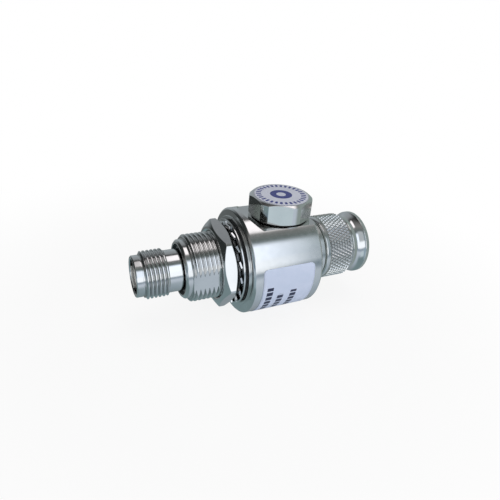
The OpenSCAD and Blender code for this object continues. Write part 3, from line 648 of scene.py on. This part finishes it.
round_part = LABEL_ROUND * (1 - np.cos(np.linspace(0, TURN / 4, ROUND_ROWS)))
straight_part = np.linspace(LABEL_ROUND, LABEL_HEIGHT - LABEL_ROUND, STRAIGHT_ROWS)[1:-1]
down_film = np.concatenate([round_part, straight_part, LABEL_HEIGHT - round_part[::-1]])[:, None]
to_end = np.minimum(LABEL_ROUND, np.minimum(down_film, LABEL_HEIGHT - down_film))
bulge = np.sqrt(np.maximum(0, LABEL_ROUND ** 2 - (LABEL_ROUND - to_end) ** 2))
across_film = (LABEL_LENGTH / 2 - LABEL_ROUND + bulge) * np.linspace(-1, 1, FILM_COLUMNS)[None]
label_angle = TURN / 2 - LABEL_TOP + down_film / BODY_R
label_points = on_line(LABEL_X + LABEL_LENGTH / 2 + across_film, LABEL_R, label_angle)
label = sheet("body_film", label_points, across_film + LABEL_LENGTH / 2, down_film + 0 * across_film)

# %% Cap film
CAP_FILM_R, CAP_FILM_ROWS = 6.5, 14

disc_radius = np.linspace(0, CAP_FILM_R, CAP_FILM_ROWS)[:, None]
disc_angle = whole_turn(round_angles(SMALL_COLUMNS))[None]
disc_points = on_cap(CAP_HIGH + FILM, disc_radius, disc_angle)
cap_film = sheet("cap_film", disc_points, disc_points[..., 0] - CAP_X, disc_points[..., 1])

# %% [markdown]
# ## Finishes
# Every finish is a small network of nodes that reads Object coordinates in metres, so nothing slides
# when a piece moves with its body. A few helpers keep the networks short: they make a material, add a
# node with its settings, do one sum, give noise of a size in millimetres, carry a value from one range
# to another, and blend colours.

# %% Finish helpers
NOISE_LOW, NOISE_HIGH = 0.3, 0.7


def finish(name):
    """A node material with one shader: the material, its tree, the shader and Object coordinates."""
    material = bpy.data.materials.new(name)
    material.use_nodes = True
    tree = material.node_tree
    return material, tree, tree.nodes["Principled BSDF"], add(tree, "TexCoord").outputs["Object"]


def add(tree, kind, inputs=None, **settings):
    """A shader node with its settings; inputs gives sockets a number, a vector or a node's output."""
    node = tree.nodes.new("ShaderNode" + kind)
    for key, value in settings.items():
        setattr(node, key, value)
    for key, value in (inputs or {}).items():
        if isinstance(value, bpy.types.NodeSocket):
            tree.links.new(value, node.inputs[key])
        else:
            node.inputs[key].default_value = value
    return node


def math_node(tree, operation, *values):
    """One Math node; values are numbers or sockets."""
    return add(tree, "Math", dict(enumerate(values)), operation=operation).outputs["Value"]


def vector_node(tree, operation, inputs, output="Vector"):
    """One Vector Math node; inputs gives its sockets."""
    return add(tree, "VectorMath", inputs, operation=operation).outputs[output]


def sides_of(tree, vector):
    """The X, Y and Z of a vector."""
    return add(tree, "SeparateXYZ", {"Vector": vector}).outputs


def mapped(tree, value, low, high, low_gives=0.0, high_gives=1.0, curve="LINEAR"):
    """Low and what it gives, high and what it gives, and a line or a smooth step between the two."""
    ends = {"From Min": low, "From Max": high, "To Min": low_gives, "To Max": high_gives}
    node = add(tree, "MapRange", {"Value": value, **ends}, interpolation_type=curve)
    return node.outputs["Result"]


def noise(tree, place, size, detail=3.0):
    """Noise with features of about that many millimetres."""
    inputs = {"Vector": place, "Scale": 1 / MM / size, "Detail": detail}
    return add(tree, "TexNoise", inputs).outputs["Fac"]


def spread(tree, share, low, high):
    """Noise stretched to low to high; it stays near its middle, so only its middle range is used."""
    return mapped(tree, share, NOISE_LOW, NOISE_HIGH, low, high)


def blend_colours(tree, share, *stops):
    """A ramp through (position, colour) stops, read at share. A new ramp has two stops of its own."""
    ramp = add(tree, "ValToRGB", {"Fac": share})
    elements = ramp.color_ramp.elements
    for number, (position, colour) in enumerate(stops):
        element = elements[number] if number < 2 else elements.new(position)
        element.position, element.color = position, (*colour, 1)
    return ramp.outputs["Color"]


def laid_over(tree, share, under, over):
    """The under colour where the share is 0 and the over colour where it is 1."""
    inputs = {"Factor": share, "A": under, "B": over}
    return add(tree, "Mix", inputs, data_type="RGBA").outputs["Result"]


def coat(tree, shader, colour, roughness):
    """Gives the shader its colour and roughness."""
    tree.links.new(colour, shader.inputs["Base Color"])
    tree.links.new(roughness, shader.inputs["Roughness"])


def relief(tree, shader, height, depth, strength):
    """Tilts the shading by a height map; depth is in millimetres."""
    bump = add(tree, "Bump", {"Height": height, "Strength": strength, "Distance": depth * MM})
    tree.links.new(bump.outputs["Normal"], shader.inputs["Normal"])


print("noise is used from", NOISE_LOW, "to", NOISE_HIGH)

# %% [markdown]
# ### Nickel plate
# The tool leaves rings that are finer than the eye can part, and they spread each reflection across
# the turning. A height that depends only on the distance along the axis and from it gives just such
# rings, on the cylinders and on the faces alike. The plate clouds a little, so colour and roughness
# drift over a few millimetres. Shade is painted into the grooves and deep bores of some pieces: there
# the colour darkens with the depth below their edge.

# %% Nickel plate
CLOUD_SIZE, DRIFT_SIZE, RING_SIZE, RING_STRENGTH = 4.0, 1.1, 0.16, 0.35
FINE_RINGS, SATIN_RINGS, GILT_RINGS = 0.0005, 0.0006, 0.002
NO_FLAT = -99.0


def plated(name, tones, roughness, ring_depth=FINE_RINGS, upright=False, painted_shade=(), flat_y=NO_FLAT):
    """Metal with turning rings about X, or about the cap's axis where upright. Each groove in the list of
    painted shade is (start, end) along X, (depth, edge) as radii and a share: from edge to depth the
    colour falls to that share of itself, which is painted shade. A flat at flat_y or beyond gets none."""
    material, tree, shader, place = finish(name)
    if upright:
        shift = {"Vector": place, "Location": (-CAP_X * MM, 0, 0)}
        place = add(tree, "Mapping", shift).outputs["Vector"]
    axes = sides_of(tree, place)
    flat = vector_node(tree, "MULTIPLY", {0: place, 1: (1, 1, 0) if upright else (0, 1, 1)})
    radius = vector_node(tree, "LENGTH", {0: flat}, "Value")
    ring_place = add(tree, "CombineXYZ", {"X": axes["Z" if upright else "X"], "Y": radius})
    light, dark = tones
    cloud = noise(tree, place, CLOUD_SIZE, 5.0)
    colour = blend_colours(tree, cloud, (NOISE_LOW, dark), (NOISE_HIGH, light))
    # Painted shade: in each listed groove the colour falls to its share with the depth below the edge,
    # except on the flat.
    for (start, end), (deep, rim), shade_share in painted_shade:
        unshaded = mapped(tree, radius, deep * MM, rim * MM, low_gives=shade_share)
        off_middle = math_node(tree, "SUBTRACT", axes["X"], (start + end) / 2 * MM)
        off_middle = math_node(tree, "ABSOLUTE", off_middle)
        outside = math_node(tree, "GREATER_THAN", off_middle, (end - start) / 2 * MM)
        on_flat = math_node(tree, "LESS_THAN", axes["Y"], flat_y * MM + MERGE)
        unshaded = math_node(tree, "MAXIMUM", math_node(tree, "MAXIMUM", unshaded, outside), on_flat)
        colour = vector_node(tree, "SCALE", {0: colour, "Scale": unshaded})
    drift = noise(tree, place, DRIFT_SIZE)
    coat(tree, shader, colour, spread(tree, drift, roughness * 0.8, roughness * 1.25))
    rings = noise(tree, ring_place.outputs["Vector"], RING_SIZE, 4.0)
    relief(tree, shader, rings, ring_depth, RING_STRENGTH)
    shader.inputs["Metallic"].default_value = 1.0
    return material


# %% Metal finishes
NICKEL = ((0.75, 0.745, 0.735), (0.69, 0.69, 0.685))
SATIN = ((0.74, 0.735, 0.72), (0.68, 0.68, 0.67))
STEEL, TOOTHED = ((0.72, 0.72, 0.72), (0.6, 0.6, 0.61)), ((0.76, 0.76, 0.76), (0.66, 0.66, 0.67))
GILT = ((0.86, 0.66, 0.3), (0.78, 0.57, 0.24))
# Painted shade in the roots of the barrel's and the jack's threads and in the knurl's grooves.
BARREL_GROOVE_SHADE = (BARREL_THREAD, (BARREL_ROOT, 7.75), 0.65)
# Painted shade in the recess at the barrel's mouth and on the jack's seat inside it.
BARREL_BORE_SHADE = ((-13.5, -8.0), (6.2, 6.4), 0.15)
JACK_GROOVE_SHADE = (JACK_THREAD, (JACK_ROOT, 5.28), 0.6)
JACK_SEAT_SHADE = ((-13.1, -8.0), (6.2, 6.4), 0.15)
KNURL_GROOVE_SHADE = ((23.45, 29.85), (KNURL_R - KNURL_DEPTH, 8.1), 0.6)
# Painted shade on the lock washer's inner ring, where it lies under the nut.
TOOTH_ROOT_SHADE = ((-3.0, -1.0), (8.95, 9.5), 0.16)

satin_nickel = plated("satin_nickel_plate", SATIN, 0.13, SATIN_RINGS,
                      painted_shade=[BARREL_GROOVE_SHADE, BARREL_BORE_SHADE], flat_y=FLAT_Y)
threaded_nickel = plated("threaded_nickel_plate", NICKEL, 0.11, painted_shade=[JACK_GROOVE_SHADE, JACK_SEAT_SHADE])
bright_nickel = plated("bright_nickel_plate", NICKEL, 0.1)
cap_nickel = plated("cap_nickel_plate", NICKEL, 0.12, upright=True)
spring_steel = plated("spring_steel_plate", STEEL, 0.14)
knurled_nickel = plated("knurled_nickel_plate", NICKEL, 0.1, painted_shade=[KNURL_GROOVE_SHADE])
toothed_steel = plated("toothed_steel_plate", TOOTHED, 0.14, painted_shade=[TOOTH_ROOT_SHADE])
gilt = plated("gilt_contact_plate", GILT, 0.2, GILT_RINGS)
print("metal finishes:", [material.name for material in bpy.data.materials if "plate" in material.name])

# %% [markdown]
# ### Seals, insulators and ceramic
# None of these is one flat colour. The rubber has a dusty bloom, the insulator is waxy and a little
# uneven, and the ceramic is speckled.

# %% Soft and white finishes
BLOOM_SIZE, BLOOM_LOW, BLOOM_HIGH = 2.5, 0.35, 0.65
SHEEN_SIZE, SHEEN, GRAIN_STRENGTH = 0.8, 0.08, 0.3


def plain(name, light, dark, roughness, grain, grain_depth):
    """A non-metal whose colour and roughness drift with noise, over a fine grain."""
    material, tree, shader, place = finish(name)
    bloom = noise(tree, place, BLOOM_SIZE, 5.0)
    colour = blend_colours(tree, bloom, (BLOOM_LOW, dark), (BLOOM_HIGH, light))
    sheen = noise(tree, place, SHEEN_SIZE)
    coat(tree, shader, colour, spread(tree, sheen, roughness - SHEEN, roughness + SHEEN))
    relief(tree, shader, noise(tree, place, grain), grain_depth, GRAIN_STRENGTH)
    return material


black_rubber = plain("black_seal_rubber", (0.035, 0.036, 0.038), (0.016, 0.016, 0.017), 0.62, 0.18, 0.02)
red_rubber = plain("red_seal_rubber", (0.42, 0.07, 0.045), (0.3, 0.045, 0.03), 0.5, 0.2, 0.02)
white_insulator = plain("white_insulator_wax", (0.86, 0.86, 0.84), (0.78, 0.78, 0.75), 0.4, 0.3, 0.006)
ceramic = plain("capsule_ceramic", (0.84, 0.8, 0.72), (0.76, 0.71, 0.62), 0.45, 0.12, 0.008)
print("other finishes:", [m.name for m in (black_rubber, red_rubber, white_insulator, ceramic)])

# %% [markdown]
# ### Printed films
# The films are pale lavender and satin. Their print is generic: rows of plain dashes on the body, and
# a ring of ticks round a plain circle on the cap. A row is where the larger of the distances past its
# half width and half height is below zero, so it needs no image.

# %% Film finish
def film_finish(name, marks, paper_tones, ink):
    """A film whose ink covers it where marks(tree, uv in mm) is 1; its paper drifts between two tones."""
    material, tree, shader, solid = finish(name)
    uv = add(tree, "UVMap", uv_map="film").outputs["UV"]
    place = vector_node(tree, "SCALE", {0: uv, "Scale": UV_SPAN})
    light, dark = paper_tones
    paper = blend_colours(tree, noise(tree, solid, 3.0, 4.0), (BLOOM_LOW, dark), (BLOOM_HIGH, light))
    printed = laid_over(tree, marks(tree, place), paper, (*ink, 1))
    coat(tree, shader, printed, spread(tree, noise(tree, solid, 0.6), 0.3, 0.42))
    relief(tree, shader, noise(tree, solid, 0.25), 0.004, 0.2)
    return material


# %% Body film's print
BODY_PAPER, BODY_INK = ((0.68, 0.76, 0.96), (0.63, 0.72, 0.92)), (0.02, 0.025, 0.07)
DASH_STEP, DASH = 1.5, 1.15
DASH_ROWS = [((1.9, 11.2), (0.8, 6.5)), ((4.9, 12.4), (0.8, 5.3)), ((8.2, 12.0), (0.8, 5.6))]


def dash_marks(tree, place):
    """Three rows that stand side by side and run down the film, (middle, half size) each, cut into
    dashes: a dash is where the distance down the film, wrapped at every step, is below the dash."""
    total = 0.0
    wrapped = math_node(tree, "WRAP", sides_of(tree, place)["Y"], DASH_STEP, 0.0)
    for middle, half in DASH_ROWS:
        away = vector_node(tree, "SUBTRACT", {0: place, 1: (*middle, 0)})
        away = vector_node(tree, "ABSOLUTE", {0: away})
        past = sides_of(tree, vector_node(tree, "SUBTRACT", {0: away, 1: (*half, 0)}))
        inside = math_node(tree, "LESS_THAN", math_node(tree, "MAXIMUM", past["X"], past["Y"]), 0.0)
        total = math_node(tree, "MAXIMUM", total, inside)
    return math_node(tree, "MULTIPLY", total, math_node(tree, "LESS_THAN", wrapped, DASH))


# %% Cap film's print
CAP_PAPER, CAP_INK = ((0.64, 0.66, 0.76), (0.59, 0.61, 0.71)), (0.035, 0.045, 0.22)
TICKS, TICK_RING, TICK_LENGTH, TICK_FROM = 30, 5.4, 1.2, -0.1
CIRCLE_R, CIRCLE_WIDTH = 1.9, 1.5


def ring_marks(tree, place):
    """Ticks where the sine of the angle times their number is high, within a ring; and a circle."""
    radius = vector_node(tree, "LENGTH", {0: place}, "Value")
    sides = sides_of(tree, place)
    angle = math_node(tree, "ARCTAN2", sides["Y"], sides["X"])
    wave = math_node(tree, "SINE", math_node(tree, "MULTIPLY", angle, float(TICKS)))
    tick = math_node(tree, "GREATER_THAN", wave, TICK_FROM)
    ring = math_node(tree, "COMPARE", radius, TICK_RING, TICK_LENGTH / 2)
    circle = math_node(tree, "COMPARE", radius, CIRCLE_R, CIRCLE_WIDTH / 2)
    return math_node(tree, "MAXIMUM", math_node(tree, "MULTIPLY", tick, ring), circle)


body_film_finish = film_finish("body_film_print", dash_marks, BODY_PAPER, BODY_INK)
cap_film_finish = film_finish("cap_film_print", ring_marks, CAP_PAPER, CAP_INK)
print("films:", len(DASH_ROWS), "rows of dashes and", TICKS, "ticks")

# %% [markdown]
# ## Dressing
# Each new piece takes its finish, rides on the body that carries it, hides the CAD node it stands for
# and says which node that is. The nodes that keep their CAD mesh get the same finishes.

# %% Dress the new pieces
DRESSING = [
    (jack, threaded_nickel, "body", "bright_nickel", "jack_shell"),
    (sleeve, white_insulator, "body", "white_insulator", "jack_insulator"),
    (housing, satin_nickel, "body", "satin_nickel", "housing"),
    (nut, bright_nickel, "nut", "bright_nickel", "panel_nut"),
    (cap, cap_nickel, "cap", "bright_nickel", "gas_cap"),
    (coupling, knurled_nickel, "coupling", "bright_nickel", "coupling_nut"),
    (plug, bright_nickel, "body", "bright_nickel", "plug_body"),
    (insulator, white_insulator, "body", "white_insulator", "plug_insulator"),
    (seal, red_rubber, "body", "red_seal", "plug_seal"),
    (pin, gilt, "body", "gilt_contact", "plug_pin"),
    (washer, bright_nickel, "washers", "bright_nickel", "flat_washer"),
    (gasket, black_rubber, "body", "black_seal", "panel_gasket"),
    (cap_ring, black_rubber, "cap", "black_seal", "cap_seal"),
    (label, body_film_finish, "body", "label_film", "body_label"),
    (cap_film, cap_film_finish, "cap", "label_film", "cap_label"),
]
for piece, material, body, slot, node in DRESSING:
    piece.data.materials.clear()
    piece.data.materials.append(material)
    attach(piece, body)
    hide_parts(node)
    low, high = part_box(node)
    own = np.array([corner[:] for corner in piece.bound_box])
    off = np.abs(np.array([own.min(0) - low, own.max(0) - high])).max() / MM
    print(f"{piece.name} stands for {node}, corners differ by", np.round(off, 3), "mm")

# %% Finish the nodes that stay
KEPT = {"jack_contact": gilt, "line_bead": white_insulator, "centre_conductor": gilt,
        "split_ring": spring_steel, "lock_washer": toothed_steel, "contact_spring": spring_steel,
        "upper_electrode": bright_nickel, "lower_electrode": bright_nickel, "ceramic_tube": ceramic}
for node, material in KEPT.items():
    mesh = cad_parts[node].data
    mesh.materials.clear()
    mesh.materials.append(material)
print("kept CAD meshes:", sorted(KEPT))

# %% [markdown]
# ## The studio
# Plated metal has no look of its own: it shows the room. So the room is set up first for the metal,
# as walls whose tone changes round the line, with soft panels before them. A panel is a range of two
# angles: how far round the line a direction points, from the back over the top to the front, and how
# far it leans along the line. Lamps of their own light whatever is matt. The world therefore answers
# three kinds of rays: white for the camera, the room for reflections, and an even grey for soft light.

# %% Walls of the room
FULL = 360.0
SEAM, SEAM_TONE = -36, (0.2, 0.22, 0.22)
AROUND = [(SEAM, SEAM_TONE), (10, (0.4, 0.45, 0.48)), (45, (0.3, 0.32, 0.34)), (60, (0.05, 0.05, 0.05)),
          (97, (0.25, 0.25, 0.25)), (115, (0.15, 0.18, 0.18)), (135, (0.32, 0.4, 0.44)),
          (185, (0.18, 0.25, 0.32)), (200, (0.62, 0.7, 0.8)), (250, (0.42, 0.5, 0.58)),
          (SEAM + FULL, SEAM_TONE)]

scene.view_settings.view_transform = "Standard"
world = bpy.data.worlds.new("studio_room")
scene.world = world
world.use_nodes = True
world.cycles.sampling_method = "NONE"
room = world.node_tree

toward = sides_of(room, add(room, "TexCoord").outputs["Generated"])
lean = math_node(room, "DEGREES", math_node(room, "ARCSINE", toward["X"]))
from_back = math_node(room, "DEGREES", math_node(room, "ARCTAN2", toward["Z"], toward["Y"]))
around_line = math_node(room, "WRAP", from_back, SEAM + FULL, SEAM)
wall_share = math_node(room, "DIVIDE", math_node(room, "SUBTRACT", around_line, SEAM), FULL)
walls = blend_colours(room, wall_share, *[((angle - SEAM) / FULL, tone) for angle, tone in AROUND])
print("the walls have", len(AROUND), "stops")

# %% Panels of the room
PANELS = {"dark end behind": ((-40, 74), (-99, -20), 25, (0.03, 0.035, 0.035)),
          "grey front card": ((118, 160), (-45, 6), 10, (0.55, 0.6, 0.64)),
          "overhead light": ((64, 97), (9, 29.5), 9, (1.45, 1.4, 1.44)),
          "front light": ((124, 176), (6, 29), 12, (1.32, 1.44, 1.64)),
          "long front light": ((157, 184), (-48, 27), 10, (1.25, 1.32, 1.4)),
          "ground": ((216, 340), (-76, 11), 22, (0.21, 0.29, 0.31)),
          "low front card": ((196, 216), (-32, -8), 8, (0.62, 0.74, 0.8)),
          "low end card": ((187, 235), (-58, -34), 9, (0.34, 0.45, 0.53)),
          "plug's end": ((-40, 340), (34, 99), 10, (0.31, 0.37, 0.36))}


def edge(tree, value, limit, soft, rising):
    """Smooth step of an angle in degrees across a limit, over the soft width."""
    ends = (limit - soft / 2, limit + soft / 2)
    low, high = ends if rising else ends[::-1]
    return mapped(tree, value, low, high, curve="SMOOTHSTEP")


def panel(tree, around, along, arc, reach, soft):
    """1 inside a range of both angles and 0 outside: the product of four smooth steps."""
    edges = [edge(tree, around, arc[0], soft, True), edge(tree, around, arc[1], soft, False),
             edge(tree, along, reach[0], soft, True), edge(tree, along, reach[1], soft, False)]
    pairs = [math_node(tree, "MULTIPLY", *edges[:2]), math_node(tree, "MULTIPLY", *edges[2:])]
    return math_node(tree, "MULTIPLY", *pairs)


for arc, reach, soft, tone in PANELS.values():
    walls = laid_over(room, panel(room, around_line, lean, arc, reach, soft), walls, (*tone, 1))
print("panels:", list(PANELS))

# %% Rays of the room
SOFT_LIGHT = 0.45

rays = add(room, "LightPath").outputs
soft_or_wall = laid_over(room, rays["Is Glossy Ray"], (SOFT_LIGHT, SOFT_LIGHT, SOFT_LIGHT, 1), walls)
straight = math_node(room, "MAXIMUM", rays["Is Camera Ray"], rays["Is Transmission Ray"])
seen = laid_over(room, straight, soft_or_wall, (1, 1, 1, 1))
room.links.new(seen, room.nodes["Background"].inputs["Color"])
print("soft light of the room:", SOFT_LIGHT)

# %% [markdown]
# Two soft boxes stand where the bright panels are. They are hidden from reflections, because the
# panels already show there, and they give the matt pieces their light and the floor its shadow.

# %% Lamps
MIDDLE = (5, 0, 0)


def soft_box(name, place, size, power):
    """A rectangular lamp in millimetres that faces the middle of the part."""
    lamp = bpy.data.lights.new(name, "AREA")
    lamp.shape, lamp.size, lamp.size_y = "RECTANGLE", size[0] * MM, size[1] * MM
    lamp.energy = power
    box = linked(name, lamp)
    aim = (Vector(MIDDLE) - Vector(place)).to_track_quat("-Z", "Y")
    box.matrix_world = Matrix.Translation(Vector(place) * MM) @ aim.to_matrix().to_4x4()
    box.visible_glossy = False
    print(f"{name}: {power} W")


soft_box("overhead_box", (40, 20, 260), (220, 160), 0.16)
soft_box("front_box", (60, -250, 110), (240, 160), 0.21)

# %% [markdown]
# The floor is pale and matt. To the camera most of it is the same white as the background, and the
# rest is its own shade, so the part's shadow still lies on it; further out it is all white. It is
# hidden from reflections too, where the room's ground shows instead.

# %% Floor
FLOOR_Z, FLOOR_R, FLOOR_ROWS, FLOOR_COLUMNS = -13.12, 900.0, 25, 72

floor_rings = FLOOR_R * np.linspace(0, 1, FLOOR_ROWS)[:, None] ** 2
floor_angles = whole_turn(round_angles(FLOOR_COLUMNS))[None]
floor_sides = (floor_rings * np.cos(floor_angles), floor_rings * np.sin(floor_angles), FLOOR_Z)
floor_points = np.stack(np.broadcast_arrays(*floor_sides), -1)
floor = shell("floor", (floor_points, weave(floor_points)))

# %% Floor paint
FLOOR_WHITE, FLOOR_DRIFT, FLOOR_CLOUD = 0.93, 0.02, 30.0
OWN_SHADE, SHADE_REACH = 0.13, (40.0, 110.0)

paint, tree, shader, place = finish("floor_paint")
floor_tones = ((NOISE_LOW, (FLOOR_WHITE - FLOOR_DRIFT,) * 3), (NOISE_HIGH, (FLOOR_WHITE,) * 3))
floor_colour = blend_colours(tree, noise(tree, place, FLOOR_CLOUD), *floor_tones)
tree.links.new(floor_colour, shader.inputs["Base Color"])
shader.inputs["Roughness"].default_value = 0.9
shader.inputs["Specular IOR Level"].default_value = 0.0
away = vector_node(tree, "LENGTH", {0: place}, "Value")
near, far = (reach * MM for reach in SHADE_REACH)
fade = mapped(tree, away, near, far, low_gives=1 - OWN_SHADE, curve="SMOOTHSTEP")
rays = add(tree, "LightPath").outputs
share = math_node(tree, "MULTIPLY", rays["Is Camera Ray"], fade)
white = add(tree, "Emission", {"Strength": 1.0}).outputs["Emission"]
mixed = add(tree, "MixShader", {"Fac": share, 1: shader.outputs["BSDF"], 2: white})
tree.links.new(mixed.outputs["Shader"], tree.nodes["Material Output"].inputs["Surface"])
floor.data.materials.append(paint)
floor.visible_glossy = False
print("the floor is all white from", SHADE_REACH[1], "mm on")
